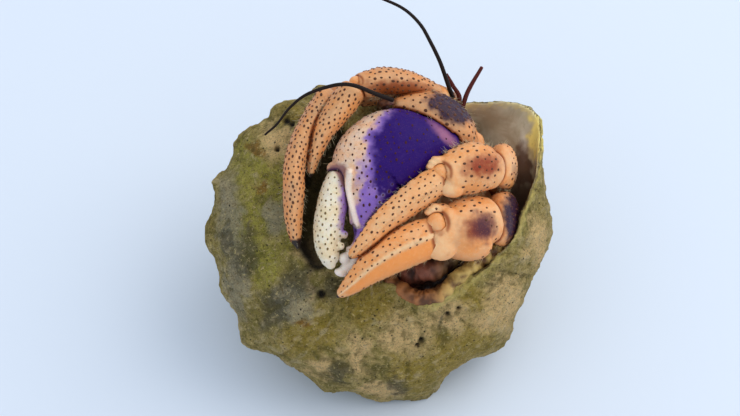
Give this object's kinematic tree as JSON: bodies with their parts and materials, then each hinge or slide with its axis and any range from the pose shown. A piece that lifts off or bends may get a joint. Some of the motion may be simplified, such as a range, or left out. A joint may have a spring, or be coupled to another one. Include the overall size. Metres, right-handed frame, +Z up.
{
  "type": "hermit crab",
  "caption": "Life-size still model of a land hermit crab drawn back into a knobbed turban shell, purple claw and spotted orange legs across the mouth.",
  "frame": {"origin": "on the floor under the middle of the whole model's box", "axes": "+Z up; +X to the viewer's right when looking into the shell's mouth; -Y towards the viewer"},
  "size_m": [0.0602, 0.053, 0.0539],
  "materials": {
    "shell": "worn lime, mottled tan and olive with algae, pearly inside the mouth",
    "crab_skin": "satin orange skin with small dark spots",
    "claw_purple": "satin blue violet, cream at the edges, with pale ringed spots",
    "claw_cream": "satin cream with olive spots",
    "soft_flesh": "soft reddish brown skin",
    "feeler": "dark red brown, half gloss",
    "eye": "wet black"
  },
  "bodies": {
    "root": {"abdomen": "soft_flesh", "carapace": "crab_skin", "left_antenna": "feeler", "left_antenna_base": "soft_flesh", "left_antennule": "feeler", "left_claw_carpus": "crab_skin", "left_claw_finger": "claw_cream", "left_claw_merus": "crab_skin", "left_claw_palm": "claw_purple", "left_eye": "eye", "left_eyestalk": "crab_skin", "left_leg2_carpus": "crab_skin", "left_leg2_dactyl": "crab_skin", "left_leg2_merus": "crab_skin", "left_leg2_propodus": "crab_skin", "left_leg3_carpus": "crab_skin", "left_leg3_dactyl": "crab_skin", "left_leg3_merus": "crab_skin", "left_leg3_propodus": "crab_skin", "left_leg4": "crab_skin", "left_maxilliped": "soft_flesh", "right_antenna": "feeler", "right_antenna_base": "soft_flesh", "right_antennule": "feeler", "right_claw_carpus": "crab_skin", "right_claw_finger": "claw_cream", "right_claw_merus": "crab_skin", "right_claw_palm": "crab_skin", "right_eye": "eye", "right_eyestalk": "crab_skin", "right_leg2_carpus": "crab_skin", "right_leg2_dactyl": "crab_skin", "right_leg2_merus": "crab_skin", "right_leg2_propodus": "crab_skin", "right_leg3_carpus": "crab_skin", "right_leg3_dactyl": "crab_skin", "right_leg3_merus": "crab_skin", "right_leg3_propodus": "crab_skin", "right_leg4": "crab_skin", "right_maxilliped": "soft_flesh", "shell": "shell"}
  },
  "joints": []
}
